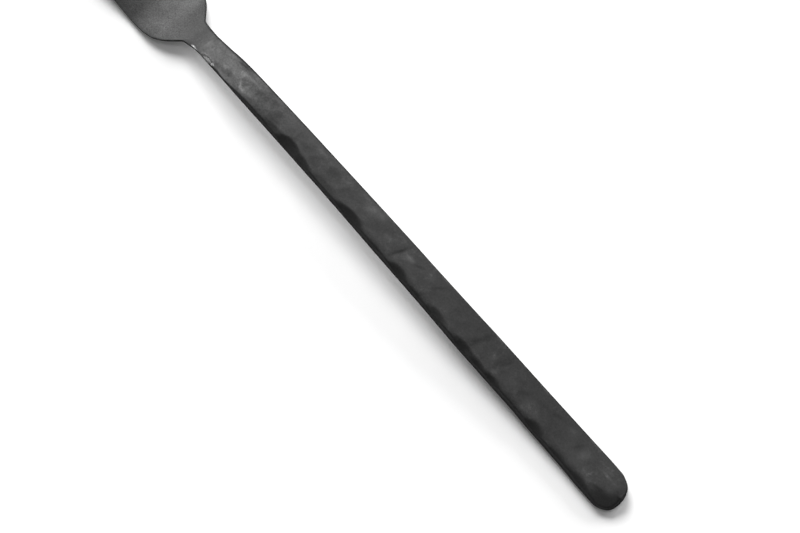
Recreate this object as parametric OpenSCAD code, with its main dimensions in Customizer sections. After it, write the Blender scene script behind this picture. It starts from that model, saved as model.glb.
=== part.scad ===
// Dinner fork: a thin pressed head with four tines, welded at the waist to a hammered, forged handle.
// It lies concave side up on the plane z = 0, with +X towards the tines and the origin under its middle.

/* [Lengths] */
// Handle, from its round end to the weld
handle_l = 139; // [110:1:170]
// Weld, measured along the fork
weld_l = 1.2; // [0.6:0.1:2.4]
// Neck stub on the head, from the weld to the shoulders
stub_l = 4; // [2:0.1:8]
// Shoulders, from the neck to the palm's full width
shoulder_l = 11.3; // [9:0.1:18]
// Palm, from the shoulders to the bottoms of the slots
palm_l = 12.5; // [8:0.5:20]
// Tines, from the bottoms of the slots to their points
tine_l = 42; // [32:0.5:55]
// Throat, where the handle starts to narrow, measured back from the weld
throat_back = 18; // [12:0.5:26]
// Neck, where the handle's edges have turned crisp, measured back from the weld
neck_back = 5; // [3:0.5:9]

/* [Widths] */
// Handle at its widest, just before its round end
butt_w = 9.5; // [8:0.1:13]
// Handle halfway along
middle_w = 8.1; // [6.5:0.1:11]
// Handle at the throat
throat_w = 6.9; // [5.5:0.1:9]
// Waist, at the weld
waist_w = 5.8; // [4.5:0.1:7.5]
// Neck where the shoulders start
corner_w = 6.8; // [5.5:0.1:9]
// Palm
palm_w = 17; // [15:0.1:22]
// Head at the bottoms of the slots
root_w = 16.8; // [15:0.1:22]
// Head, over the points of the outer tines
points_w = 16.2; // [14:0.1:21]

/* [Thicknesses] */
// Handle at its round end
butt_t = 4; // [3:0.1:5.5]
// Handle at the throat
throat_t = 3.6; // [2.8:0.1:5]
// Waist, at the weld
waist_t = 3.1; // [2.4:0.1:4]
// Palm
palm_t = 2.2; // [1.6:0.1:3]
// Tines at their points
point_t = 1.3; // [1:0.05:2]
// How far in the rounding of the handle's upper edges reaches
handle_edge = 0.8; // [0.5:0.1:1.7]
// How far in the rounding of its lower edges reaches
handle_under_edge = 1.7; // [0.8:0.1:2]
// How far in the rounding of the upper edges reaches at the neck and on the head
head_edge = 0.35; // [0.25:0.05:0.6]
// How far in the rounding under the neck reaches
neck_under_edge = 1.2; // [0.6:0.1:1.8]
// How far in the rounding under the palm reaches
palm_under_edge = 1; // [0.5:0.1:1.4]
// How far in the rounding under the points reaches
point_under_edge = 0.5; // [0.3:0.05:0.9]

/* [Profile] */
// Flat foot under the handle, from its round end
foot_l = 9; // [6:0.5:14]
// Depth ground off under the handle to make the foot
foot_grind = 0.2; // [0.1:0.05:0.4]
// Height of the handle's middle plane, halfway along
halfway_h = 5.9; // [4:0.1:8]
// Height of the handle's middle plane at the throat, the top of the arch
arch_h = 7.4; // [6.2:0.1:12]
// Height of the middle plane at the waist
waist_h = 4.85; // [3.6:0.05:6]
// Height of the middle plane where the shoulders start
corner_h = 3.25; // [2.4:0.05:4.4]
// Height of the middle plane across the shoulders
shoulder_h = 1.52; // [1.2:0.02:2.2]
// Heel, the lowest place of the palm, measured on from the weld
heel_on = 17; // [14:0.5:20]
// Depth polished off under the heel where it rests
heel_grind = 0.08; // [0.04:0.01:0.15]
// Height of the tines' middle plane a third of the way along them
bend_h = 5.2; // [3.5:0.1:8]
// Height of the tines' middle plane at their points
points_h = 15.5; // [10:0.5:22]
// How far the palm's sides stand above its middle
palm_dish = 0.9; // [0.2:0.1:1.8]
// How far the outer points stand above the middle of the head
points_dish = 0.8; // [0:0.1:1.6]

/* [Tines] */
// Number of tines
tine_n = 4; // [3:1:5]
// Width of a slot at its round bottom
slot_w = 2.4; // [2:0.1:3.2]
// Width of a tine where its point starts
point_w = 1.9; // [1.2:0.1:2.2]
// Length over which a tine's end is rounded to its point
point_l = 4; // [2:0.5:7]

/* [Hammering] */
// Number of blows along each face of the handle
face_blows = 30; // [20:1:40]
// Depth of the deepest mark on a face
face_blow_depth = 0.08; // [0.03:0.01:0.15]
// Radius of the hollow in a mark on a face, along the handle
face_bow_l = 60; // [35:5:100]
// Radius of the hollow in a mark on a face, across the handle
face_bow_w = 30; // [15:5:60]
// Radius of the hollow in a flat on an edge, across it
edge_bow_w = 30; // [20:5:60]
// How far a flat on an edge bends up over its half length
edge_bite = 0.6; // [0.4:0.05:1]
// How far a flat under an edge lies on from the one above
under_shift = 3; // [0:0.5:6]
// Radius of the hollow in the flat on the round end
end_bow = 40; // [25:5:80]
// Reach of a blow along the handle
blow_reach = 12; // [9:0.5:14]
// Length over which a blow's mark fades at the end of its reach
blow_fade = 3; // [1:0.5:5]
// Depth of the groove left round the weld when it is ground flush
weld_groove = 0.02; // [0:0.01:0.1]

/* [Hidden] */

// Places along the fork, measured from the round end of the handle
halfway_at = handle_l / 2;
throat_at = handle_l - throat_back;
neck_at = handle_l - neck_back;
weld_end = handle_l + weld_l;
corner_at = weld_end + stub_l;
palm_at = corner_at + shoulder_l;
slot_at = palm_at + palm_l;
slot_r = slot_w / 2;
tine_at = slot_at + slot_r;
fork_l = slot_at + tine_l;
heel_at = weld_end + heel_on;
bend_at = slot_at + tine_l / 3;
butt_r = butt_w / 2;

// Shoulder outline, as shares of shoulder_l and of the step from the neck to the palm
shoulder_shares = [[0.15, 0.28], [0.27, 0.53], [0.38, 0.7], [0.57, 0.9], [0.8, 0.985]];
shoulder_points = [for (s = shoulder_shares)
    [corner_at + s[0] * shoulder_l, corner_w + s[1] * (palm_w - corner_w)]];

// Crown of the handle's faces, as a share of its half thickness
crown_share = 0.1;
// How far the outline lies above the middle plane, as a share of the half thickness
neck_rise_share = 0.9;
point_rise_share = 0.4;
// Middle of the shoulders, as a share of their length
shoulder_middle_share = 0.6;

// Stations along the fork, each a place and the size there
width_stations = concat(
    [[butt_r, butt_w], [halfway_at, middle_w], [throat_at, throat_w], [handle_l + weld_l / 2, waist_w]],
    [[corner_at, corner_w]],
    shoulder_points,
    [[palm_at, palm_w], [tine_at, root_w], [fork_l, points_w]]);
thickness_stations = [[0, butt_t], [throat_at, throat_t], [handle_l, waist_t],
    [palm_at, palm_t], [fork_l, point_t]];
edge_stations = [[0, handle_edge], [throat_at, handle_edge], [neck_at, head_edge], [fork_l, head_edge]];
under_stations = [[0, handle_under_edge], [throat_at, handle_under_edge], [neck_at, neck_under_edge],
    [palm_at, palm_under_edge], [fork_l, point_under_edge]];
// Height of the outline above the middle plane, as a share of the half thickness
rise_stations = [[0, 0], [throat_at, 0], [neck_at, neck_rise_share], [palm_at, neck_rise_share],
    [fork_l, point_rise_share]];
// How far a face falls from its middle to its edges, as a share of the half thickness
crown_stations = [[0, crown_share], [throat_at, crown_share], [neck_at, 0], [fork_l, 0]];
height_stations = [[0, butt_t / 2 - foot_grind], [foot_l, butt_t / 2 - foot_grind],
    [halfway_at, halfway_h], [throat_at, arch_h], [handle_l, waist_h], [corner_at, corner_h],
    [corner_at + shoulder_middle_share * shoulder_l, shoulder_h],
    [heel_at, palm_t / 2 - heel_grind], [bend_at, bend_h], [fork_l, points_h]];
dish_stations = [[heel_at, 0], [slot_at, palm_dish], [fork_l, points_dish]];

// Shares of the edge rounding at which its points lie
rounding_shares = [0, 0.1, 0.3, 0.6, 1];
// Parts that the flat of a handle section is divided into
flat_parts = 8;
// Rings round the handle's end, and along the rest of it
end_rings = 9;
handle_rings = 106;
// Rings along the weld, as shares of its length and of the groove's depth
weld_ring_shares = [[0, 0], [0.2, 0.8], [0.5, 1], [0.8, 0.8], [1, 0]];
// Rows along the palm, and along a tine to the start of its point
palm_rows = 16;
tine_rows = 13;
point_rows = 5;
// Parts that the round bottom of a slot is divided into
slot_parts = 6;
// Distance from an outline below which the thickness is nothing
hair = 0.001;
// Turn from one blow to the next, in degrees, which never repeats along the handle
blow_turn = 137.5;
// Spread of the blows across a face, as a share of its half width
spread_share = 0.7;
// How far a blow strays along the face, as a share of the step to the next
stray_share = 0.3;
// Most that a mark on a face leans across the handle and is pitched along it, in degrees
most_lean = 3;
most_pitch = 2;
// Least depth of a mark on a face, as a share of the deepest
least_share = 0.35;
// Flats on the upper left edge: place along the handle and half length as shares of its length, place of the
// inner border as a share of the half width, and lean in degrees, as [along, across, lean, half length]
left_flat_shares = [[0.073, 0.69, 36, 0.032], [0.128, 0.74, 36, 0.032], [0.15, 0.43, 12, 0.05],
    [0.182, 0.54, 32, 0.024], [0.24, 0.76, 36, 0.032], [0.284, 0.63, 38, 0.022], [0.319, 0.7, 36, 0.025],
    [0.354, 0.56, 36, 0.029], [0.423, 0.59, 20, 0.029], [0.45, 0.37, 12, 0.05], [0.463, 0.71, 36, 0.032],
    [0.513, 0.57, 36, 0.025], [0.568, 0.72, 36, 0.036], [0.625, 0.43, 32, 0.029], [0.7, 0.39, 14, 0.05],
    [0.759, 0.59, 30, 0.025], [0.789, 0.28, 32, 0.025], [0.825, 0.49, 20, 0.025]];
// Flats on the upper right edge, in the same way
right_flat_shares = [[0.1, 0.83, 36, 0.029], [0.219, 0.84, 36, 0.032], [0.327, 0.84, 36, 0.032],
    [0.453, 0.83, 36, 0.032], [0.59, 0.82, 36, 0.032], [0.727, 0.81, 36, 0.029], [0.86, 0.8, 30, 0.029]];
// Flat on the round end: its place as shares of the end's radius, and its lean and pitch in degrees
end_flat_shares = [0.9, 0.27];
end_flat_turn = [21, -12];
// Most of a half width that the rounding of an edge may take, at the round end and on a tine
end_most_share = 0.45;
tine_most_share = 0.9;
// Room beyond the fork that the grinding plane takes up
overrun = 5;

// Slope of the straight line from station i to the next
function chord(s, i) = (s[i + 1][1] - s[i][1]) / (s[i + 1][0] - s[i][0]);
// Slope of the smooth curve at station i, level where the stations turn back
function slope_at(s, i) =
    i == 0 ? chord(s, 0) :
    i == len(s) - 1 ? 2 * chord(s, i - 1) - slope_at(s, i - 1) :
    chord(s, i - 1) * chord(s, i) <= 0 ? 0 :
    2 * chord(s, i - 1) * chord(s, i) / (chord(s, i - 1) + chord(s, i));
// Smooth curve through the stations, which never swings past them
function along(s, u) =
    u <= s[0][0] ? s[0][1] :
    u >= s[len(s) - 1][0] ? s[len(s) - 1][1] :
    let (i = max([for (k = [0:len(s) - 2]) if (s[k][0] <= u) k]))
    let (l = s[i + 1][0] - s[i][0])
    let (q = (u - s[i][0]) / l)
    (1 + 2 * q) * pow(1 - q, 2) * s[i][1] + q * pow(1 - q, 2) * l * slope_at(s, i)
        + q * q * (3 - 2 * q) * s[i + 1][1] + q * q * (q - 1) * l * slope_at(s, i + 1);

function half_width(u) =
    u < butt_r ? sqrt(butt_r * butt_r - pow(butt_r - u, 2)) : along(width_stations, u) / 2;
// Share of the full thickness at distance d from an outline whose rounding reaches in by r
function swell(d, r) = d < hair ? 0 : d >= r ? 1 : sqrt(1 - pow(1 - d / r, 2));
// Lengthening of a vertical thickness where the profile slopes
function steepness(u) = let (a = max(0, u - weld_l), b = min(fork_l, u + weld_l))
    norm([1, (along(height_stations, b) - along(height_stations, a)) / (b - a)]);
function half_thickness(u) = along(thickness_stations, u) / 2 * steepness(u);

// How far in the rounding of the upper or the lower edge reaches
function reach_at(u, face) = along(face > 0 ? edge_stations : under_stations, u);
// Height of a face above the middle plane, at distance d in from the outline
function face_height(u, d, face, groove = 0) =
    let (rise = along(rise_stations, u))
    (half_thickness(u) - groove) * (rise + (face - rise) * swell(d, reach_at(u, face)));

// Places of the points across one face of the bar, from the left edge to the right
function across(half, reach) = concat(
    [for (s = rounding_shares) half - s * reach],
    [for (k = [1:flat_parts - 1]) (half - reach) * (1 - 2 * k / flat_parts)],
    [for (k = [len(rounding_shares) - 1:-1:0]) rounding_shares[k] * reach - half]);
// Distance in from the bar's outline, with its round end
function bar_inset(u, y, half) = u < butt_r ? butt_r - norm([butt_r - u, y]) : half - abs(y);
// How far the bar's face falls at y from its middle
function fall(u, y, half, d, face) =
    along(crown_stations, u) * half_thickness(u) * pow(y / half, 2) * swell(d, reach_at(u, face));
// Points across one face of the bar at u, shrunk by a groove
function bar_face(u, face, groove) =
    let (half = half_width(u) - groove, height = along(height_stations, u))
    [for (y = across(half, min(reach_at(u, face), half * end_most_share)))
        let (d = bar_inset(u, y, half))
        [u, y, height + face_height(u, d, face, groove) - face * fall(u, y, half, d, face)]];
// Ring round the bar at u, over the top from left to right and back underneath
function ring(u, groove = 0) =
    let (under = bar_face(u, -1, groove))
    concat(bar_face(u, 1, groove), [for (k = [len(under) - 2:-1:1]) under[k]]);

// Height of the plain bar's face at u and y
function plain(u, y, face) = along(height_stations, u) + face_height(u, half_width(u) - abs(y), face);
// A hammer's flat at u and y: its middle, its outward direction, and the radius of its hollow each way
function flat(u, y, face, lean, pitch, bow_l, bow_w, depth = 0) =
    let (slope = atan2(plain(u + weld_l, y, face) - plain(u - weld_l, y, face), 2 * weld_l))
    let (turn = pitch - face * slope)
    let (out = [sin(turn), sin(lean) * cos(turn), face * cos(lean) * cos(turn)])
    [[u, y, plain(u, y, face)] - depth * out, out, bow_l, bow_w];
// Flats on an edge, above and mirrored underneath, on side 1 for the left and -1 for the right
function edge_flats(shares, side) =
    [for (f = shares) for (face = [1, -1])
        let (u = f[0] * handle_l + (face > 0 ? 0 : under_shift))
        let (bow = pow(f[3] * handle_l, 2) / (2 * edge_bite))
        flat(u, side * face * f[1] * half_width(u), face, side * face * f[2], 0, bow, edge_bow_w)];
// Marks on the faces
face_flats = [for (i = [0:face_blows - 1]) for (face = [1, -1])
    let (turn = blow_turn * (i + (face > 0 ? 0 : 1 / 2)))
    let (u = handle_l * (i + 1 / 2 + stray_share * sin(3 * turn)) / face_blows)
    let (depth = face_blow_depth * (least_share + (1 - least_share) * pow(cos(1.5 * turn), 2)))
    let (y = spread_share * half_width(u) * sin(turn))
    flat(u, y, face, most_lean * cos(2 * turn), most_pitch * sin(5 * turn), face_bow_l, face_bow_w, depth)];
flats = concat(
    face_flats,
    [flat(end_flat_shares[0] * butt_r, end_flat_shares[1] * butt_r, 1, end_flat_turn[0], end_flat_turn[1],
        end_bow, end_bow)],
    edge_flats(left_flat_shares, 1),
    edge_flats(right_flat_shares, -1));
// How far point p stands above a flat
function above(f, p) =
    let (away = p - f[0])
    let (height = away * f[1])
    let (run = away[0] - height * f[1][0])
    let (aside = max(0, away * away - height * height - run * run))
    let (fade = max(0, min(1, (blow_reach - abs(away[0])) / blow_fade, (handle_l - p[0]) / blow_fade)))
    fade * max(0, height - run * run / (2 * f[2]) - aside / (2 * f[3]));
// Point p pressed back to each flat in turn
function pressed(p, near, i = 0) =
    i == len(near) ? p : pressed(p - above(near[i], p) * near[i][1], near, i + 1);
function hammered(points) =
    let (near = [for (f = flats) if (abs(f[0][0] - points[0][0]) < blow_reach) f])
    [for (p = points) pressed(p, near)];

// Places of the handle's rings, close together round its end
ring_places = concat(
    [for (k = [1:end_rings]) butt_r * (1 - cos(90 * k / end_rings))],
    [for (k = [1:handle_rings]) butt_r + (handle_l - butt_r) * k / handle_rings]);

// Triangles of a sheet of rows by cols points whose first point is number first, seen from outside
function sheet_faces(rows, cols, first, outside_up) =
    [for (i = [0:rows - 2]) for (j = [0:cols - 2])
        let (a = first + i * cols + j, b = a + cols)
        for (t = outside_up ? [[a, b, b + 1], [a, b + 1, a + 1]] : [[a, b + 1, b], [a, a + 1, b + 1]]) t];
// Triangles of a tube of rings, each of n points
function tube_faces(rings, n, first) =
    [for (i = [0:rings - 2]) for (j = [0:n - 1])
        let (a = first + i * n + j, d = first + i * n + (j + 1) % n)
        for (t = [[a, a + n, d + n], [a, d + n, d]]) t];

// Widths of a tine at the slots, and the distance between neighbours there and at the points
tine_w = (root_w - (tine_n - 1) * slot_w) / tine_n;
root_pitch = tine_w + slot_w;
point_pitch = (points_w - point_w) / (tine_n - 1);
// Columns across a tine, as shares of its half width, from its left edge to its right
tine_edge_share = min(tine_most_share, 2 * palm_under_edge / tine_w);
column_shares = concat(
    [for (s = [0, 0.15, 0.5, 1]) 1 - s * tine_edge_share],
    [0],
    [for (s = [1, 0.5, 0.15, 0]) s * tine_edge_share - 1]);
// Columns across the palm at the slots, each its place and how far before the tines it ends
function tine_columns(i) = let (middle = ((tine_n - 1) / 2 - i) * root_pitch)
    [for (c = column_shares) [middle + c * tine_w / 2, 0]];
function slot_middle(i) = ((tine_n - 2) / 2 - i) * root_pitch;
function slot_columns(i) =
    [for (k = [1:slot_parts - 1]) let (turn = 180 * k / slot_parts)
        [slot_middle(i) + slot_r * cos(turn), slot_r * sin(turn)]];
columns = [for (i = [0:tine_n - 1]) each concat(tine_columns(i), i < tine_n - 1 ? slot_columns(i) : [])];
// Rows along the palm, as shares of its length, the last ones inside the rounding of the slots
palm_length = tine_at - weld_end;
row_shares = concat(
    [for (k = [0:palm_rows]) k / palm_rows * (1 - palm_under_edge / palm_length)],
    [for (s = [0.5, 0.15, 0]) 1 - s * palm_under_edge / palm_length]);

// Point of the head at place u and y, on the upper or the lower face
function head_point(u, y, inset, face) =
    let (lift = along(dish_stations, u) * pow(y / half_width(u), 2))
    [u, y, along(height_stations, u) + lift + face_height(u, inset, face)];
// Distance in from the palm's outline and from the round bottoms of the slots
function palm_inset(u, y) =
    let (slant = (half_width(u + hair) - half_width(u)) / hair)
    let (slots = [for (i = [0:tine_n - 2]) norm([tine_at - u, y - slot_middle(i)]) - slot_r])
    min(concat([(half_width(u) - abs(y)) / norm([1, slant])], slots));
function palm_point(row_share, column, face) =
    let (u = weld_end + (palm_length - column[1]) * row_share)
    let (y = column[0] * half_width(weld_end + palm_length * row_share) / half_width(tine_at))
    head_point(u, y, palm_inset(u, y), face);
// Rows of a tine as places along the fork, and its half width there
point_at = fork_l - point_l;
tine_places = concat(
    [for (k = [1:tine_rows]) tine_at + (point_at - tine_at) * k / tine_rows],
    [for (k = [1:point_rows - 1]) point_at + point_l * sin(90 * k / point_rows)]);
function tine_half(u) = u < point_at
    ? (tine_w + (point_w - tine_w) * (u - tine_at) / (point_at - tine_at)) / 2
    : point_w / 2 * sqrt(1 - pow((u - point_at) / point_l, 2));
function tine_middle(i, u) = ((tine_n - 1) / 2 - i)
    * (root_pitch + (point_pitch - root_pitch) * (u - tine_at) / (fork_l - tine_at));
function tine_point(i, u, c, face) =
    head_point(u, tine_middle(i, u) + c * tine_half(u), (1 - abs(c)) * tine_half(u), face);

// Puts points measured from the round end of the handle into the fork's own frame
function placed(points) = [for (p = points) p - [fork_l / 2, 0, 0]];

// Plane that the fork rests on, as the block below it
module table() {
    translate([-fork_l, -palm_w, -overrun]) cube([2 * fork_l, 2 * palm_w, overrun]);
}

// Pressed head: neck stub, shoulders, dished palm and tines
module head() {
    cols = len(columns);
    rows = len(row_shares);
    tine_cols = len(column_shares);
    tine_all = len(tine_places) + 1;
    palm = [for (face = [1, -1]) for (s = row_shares) for (c = columns) palm_point(s, c, face)];
    tine = function (i) [for (face = [1, -1]) each concat(
        [for (c = tine_columns(i)) palm_point(1, c, face)],
        [for (u = tine_places) for (c = column_shares) tine_point(i, u, c, face)])];
    tips = [for (i = [0:tine_n - 1]) head_point(fork_l, tine_middle(i, fork_l), 0, 1)];
    tine_size = 2 * tine_all * tine_cols;
    first = function (i) len(palm) + i * tine_size;
    tip = function (i) len(palm) + tine_n * tine_size + i;
    last_row = function (i, side) first(i) + (side + 1) * tine_all * tine_cols - tine_cols;
    color([0.11, 0.11, 0.12])
    difference() {
        polyhedron(
            points = placed(concat(palm, [for (i = [0:tine_n - 1]) each tine(i)], tips)),
            faces = concat(
                [concat([for (j = [cols - 1:-1:0]) rows * cols + j], [for (j = [1:cols - 2]) j])],
                sheet_faces(rows, cols, 0, true),
                sheet_faces(rows, cols, rows * cols, false),
                [for (i = [0:tine_n - 1]) each sheet_faces(tine_all, tine_cols, first(i), true)],
                [for (i = [0:tine_n - 1])
                    each sheet_faces(tine_all, tine_cols, last_row(i, 0) + tine_cols, false)],
                [for (i = [0:tine_n - 1]) for (j = [0:tine_cols - 2])
                    [last_row(i, 0) + j, tip(i), last_row(i, 0) + j + 1]],
                [for (i = [0:tine_n - 1]) for (j = [0:tine_cols - 2])
                    [last_row(i, 1) + j + 1, tip(i), last_row(i, 1) + j]]));
        table();
    }
}

// Weld at the waist, ground flush with a fine groove round it
module neck_weld() {
    rings = [for (s = weld_ring_shares) ring(handle_l + s[0] * weld_l, s[1] * weld_groove)];
    n = len(rings[0]);
    color([0.16, 0.16, 0.17])
    polyhedron(
        points = placed([for (r = rings) each r]),
        faces = concat(
            [[for (j = [0:n - 1]) j]],
            tube_faces(len(rings), n, 0),
            [[for (j = [n - 1:-1:0]) (len(rings) - 1) * n + j]]));
}

// Forged handle with its hammer marks and round end
module handle() {
    rings = [for (u = ring_places) hammered(ring(u))];
    n = len(rings[0]);
    pole = [0, 0, along(height_stations, 0)];
    color([0.09, 0.09, 0.1])
    difference() {
        polyhedron(
            points = placed(concat([pole], [for (r = rings) each r])),
            faces = concat(
                [for (j = [0:n - 1]) [0, 1 + j, 1 + (j + 1) % n]],
                tube_faces(len(rings), n, 1),
                [[for (j = [n - 1:-1:0]) 1 + (len(rings) - 1) * n + j]]));
        table();
    }
}

head();
neck_weld();
handle();
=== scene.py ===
"""Dinner fork: a blasted head with four tines, welded at the waist to a hammered, forged handle."""

import math

import bmesh
import bpy
import numpy as np
from mathutils import Matrix, Vector


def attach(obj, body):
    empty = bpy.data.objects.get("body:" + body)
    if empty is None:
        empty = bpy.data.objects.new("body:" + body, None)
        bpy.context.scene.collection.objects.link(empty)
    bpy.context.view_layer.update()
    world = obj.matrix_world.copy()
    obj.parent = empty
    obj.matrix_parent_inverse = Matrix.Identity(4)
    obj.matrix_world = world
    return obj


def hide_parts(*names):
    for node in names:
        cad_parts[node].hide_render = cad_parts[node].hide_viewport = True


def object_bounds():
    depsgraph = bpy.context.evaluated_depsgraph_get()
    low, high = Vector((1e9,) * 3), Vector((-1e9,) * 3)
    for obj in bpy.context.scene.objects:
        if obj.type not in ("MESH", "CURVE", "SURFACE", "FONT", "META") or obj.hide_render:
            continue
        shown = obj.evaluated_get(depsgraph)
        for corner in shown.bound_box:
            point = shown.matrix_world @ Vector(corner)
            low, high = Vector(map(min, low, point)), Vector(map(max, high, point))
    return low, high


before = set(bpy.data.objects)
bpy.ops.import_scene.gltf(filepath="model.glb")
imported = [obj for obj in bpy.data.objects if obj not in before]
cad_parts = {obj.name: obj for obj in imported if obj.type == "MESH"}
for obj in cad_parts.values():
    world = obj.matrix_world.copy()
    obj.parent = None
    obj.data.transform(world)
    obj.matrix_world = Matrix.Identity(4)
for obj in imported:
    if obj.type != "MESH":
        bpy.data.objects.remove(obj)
cad_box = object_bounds()

# One millimetre in metres, and a hair's length in millimetres over which a slope is taken
MM, HAIR = 0.001, 0.001
# Sizes of the fork in millimetres, as in the solids
HANDLE_L, WELD_L, STUB_L, SHOULDER_L, PALM_L, TINE_L = 139.0, 1.2, 4.0, 11.3, 12.5, 42.0
THROAT_BACK, NECK_BACK, HEEL_ON, FOOT_L = 18.0, 5.0, 17.0, 9
BUTT_W, HALFWAY_W, THROAT_W, WAIST_W = 9.5, 8.1, 6.9, 5.8
CORNER_W, PALM_W, ROOT_W, POINTS_W = 6.8, 17.0, 16.8, 16.2
BUTT_T, THROAT_T, WAIST_T, PALM_T, POINT_T = 4.0, 3.6, 3.1, 2.2, 1.3
HALFWAY_H, ARCH_H, WAIST_H, CORNER_H, SHOULDER_H, BEND_H, POINTS_H = 5.9, 7.4, 4.85, 3.25, 1.52, 5.2, 15.5
FOOT_GRIND, HEEL_GRIND = 0.2, 0.08
PALM_DISH, POINTS_DISH = 0.9, 0.8
TINES, SLOT_W, POINT_W, POINT_L = 4, 2.4, 1.9, 4.0
WELD_GROOVE = 0.02
# Shoulder outline, as shares of the shoulders' length and of the step from the neck to the palm
SHOULDER_SHARES = [(0.15, 0.28), (0.27, 0.53), (0.38, 0.7), (0.57, 0.9), (0.8, 0.985)]
# Fall of the handle's faces to their edges, and height of the outline above the middle plane at the neck
# and at the points, as shares of the half thickness
CROWN, NECK_RISE, POINT_RISE = 0.1, 0.9, 0.4
# How far in the rounding of the edges reaches. The head's upper edge is sharper and the neck's lower edge
# softer than in the solids
HANDLE_EDGE, HANDLE_UNDER_EDGE, HEAD_EDGE, NECK_UNDER_EDGE, PALM_UNDER_EDGE = 0.8, 1.7, 0.12, 1.8, 1.0
# Most of a half width that the rounding of an edge may take, at the round end and on a tine
END_MOST_SHARE, TINE_MOST_SHARE = 0.45, 0.9
# How much further on the shoulders' outline lies than in the solids, to meet the photograph
SHOULDERS_ON = 0.35

# Middle of the shoulders and bend of the tines, as shares of their lengths
SHOULDER_MIDDLE, TINE_BEND = 0.6, 1 / 3

# Places along the fork, measured from the handle's round end
HALFWAY_AT = HANDLE_L / 2
THROAT_AT = HANDLE_L - THROAT_BACK
NECK_AT = HANDLE_L - NECK_BACK
WELD_END = HANDLE_L + WELD_L
CORNER_AT = WELD_END + STUB_L
SHOULDER_AT = CORNER_AT + SHOULDER_MIDDLE * SHOULDER_L
HEEL_AT = WELD_END + HEEL_ON
PALM_AT = CORNER_AT + SHOULDER_L
SLOT_AT = PALM_AT + PALM_L
BEND_AT = SLOT_AT + TINE_L * TINE_BEND
FORK_L = SLOT_AT + TINE_L
SLOT_R, BUTT_R = SLOT_W / 2, BUTT_W / 2
TINE_AT = SLOT_AT + SLOT_R
FOOT_H, HEEL_H = BUTT_T / 2 - FOOT_GRIND, PALM_T / 2 - HEEL_GRIND

# Stations along the fork, each a place and the size there
WIDTHS = [(BUTT_R, BUTT_W), (HALFWAY_AT, HALFWAY_W), (THROAT_AT, THROAT_W),
          (HANDLE_L + WELD_L / 2, WAIST_W), (CORNER_AT + SHOULDERS_ON, CORNER_W)]
WIDTHS += [(CORNER_AT + SHOULDERS_ON + a * SHOULDER_L, CORNER_W + b * (PALM_W - CORNER_W))
           for a, b in SHOULDER_SHARES]
WIDTHS += [(PALM_AT, PALM_W), (TINE_AT, ROOT_W), (FORK_L, POINTS_W)]
THICKNESSES = [(0, BUTT_T), (THROAT_AT, THROAT_T), (HANDLE_L, WAIST_T), (PALM_AT, PALM_T),
               (FORK_L, POINT_T)]
EDGES = [(0, HANDLE_EDGE), (THROAT_AT, HANDLE_EDGE), (NECK_AT, HEAD_EDGE), (FORK_L, HEAD_EDGE)]
UNDER_EDGES = [(0, HANDLE_UNDER_EDGE), (THROAT_AT, HANDLE_UNDER_EDGE), (NECK_AT, NECK_UNDER_EDGE),
               (SHOULDER_AT, NECK_UNDER_EDGE), (PALM_AT, PALM_UNDER_EDGE), (FORK_L, PALM_UNDER_EDGE / 2)]
RISES = [(0, 0), (THROAT_AT, 0), (NECK_AT, NECK_RISE), (PALM_AT, NECK_RISE), (FORK_L, POINT_RISE)]
CROWNS = [(0, CROWN), (THROAT_AT, CROWN), (NECK_AT, 0)]
HEIGHTS = [(0, FOOT_H), (FOOT_L, FOOT_H), (HALFWAY_AT, HALFWAY_H), (THROAT_AT, ARCH_H),
           (HANDLE_L, WAIST_H), (CORNER_AT, CORNER_H), (SHOULDER_AT, SHOULDER_H), (HEEL_AT, HEEL_H),
           (BEND_AT, BEND_H), (FORK_L, POINTS_H)]
DISHES = [(HEEL_AT, 0), (SLOT_AT, PALM_DISH), (FORK_L, POINTS_DISH)]
# How far the shoulders' upper face falls from its middle line to the outline
SHOULDER_FALLS = [(WELD_END, 0), (CORNER_AT + 2, 0), (SHOULDER_AT, 0.25), (HEEL_AT, 0.5), (SLOT_AT, 0),
                  (FORK_L, 0)]


def along(stations, u):
    """Smooth curve through the stations, which never swings past them."""
    places, sizes = np.array(stations, float).T
    chords = np.diff(sizes) / np.diff(places)
    before, after = chords[:-1], chords[1:]
    turns = before * after <= 0
    slopes = np.zeros(len(sizes))
    slopes[0] = chords[0]
    slopes[1:-1] = np.where(turns, 0, 2 * before * after / np.where(turns, 1, before + after))
    slopes[-1] = 2 * chords[-1] - slopes[-2]
    u = np.clip(u, places[0], places[-1])
    i = np.clip(np.searchsorted(places, u, side="right") - 1, 0, len(places) - 2)
    length = places[i + 1] - places[i]
    q = (u - places[i]) / length
    return ((1 + 2 * q) * (1 - q) ** 2 * sizes[i] + q * (1 - q) ** 2 * length * slopes[i]
            + q * q * (3 - 2 * q) * sizes[i + 1] + q * q * (q - 1) * length * slopes[i + 1])


def half_width(u):
    """Half the fork's width at u, with the semicircle of the handle's end."""
    round_end = np.sqrt(np.maximum(BUTT_R ** 2 - (BUTT_R - np.minimum(u, BUTT_R)) ** 2, 0))
    return np.where(u < BUTT_R, round_end, along(WIDTHS, u) / 2)


def slant_at(u):
    """How steeply the outline widens at u."""
    return (half_width(u + HAIR) - half_width(u)) / HAIR


def swell(inset, reach):
    """Share of the full thickness at a distance in from an outline whose rounding reaches in by reach."""
    return np.sqrt(np.clip(1 - (1 - np.clip(inset / reach, 0, 1)) ** 2, 0, 1))


def half_thickness(u):
    """Half the thickness at u, measured upright where the profile slopes."""
    a, b = np.maximum(0, u - WELD_L), np.minimum(FORK_L, u + WELD_L)
    slope = (along(HEIGHTS, b) - along(HEIGHTS, a)) / (b - a)
    return along(THICKNESSES, u) / 2 * np.hypot(1, slope)


def quarter(steps):
    """Steps from 0 to 1 that lie close together at 0, as points round a quarter circle do."""
    return 1 - np.cos(np.linspace(0, math.pi / 2, steps + 1))


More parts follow.
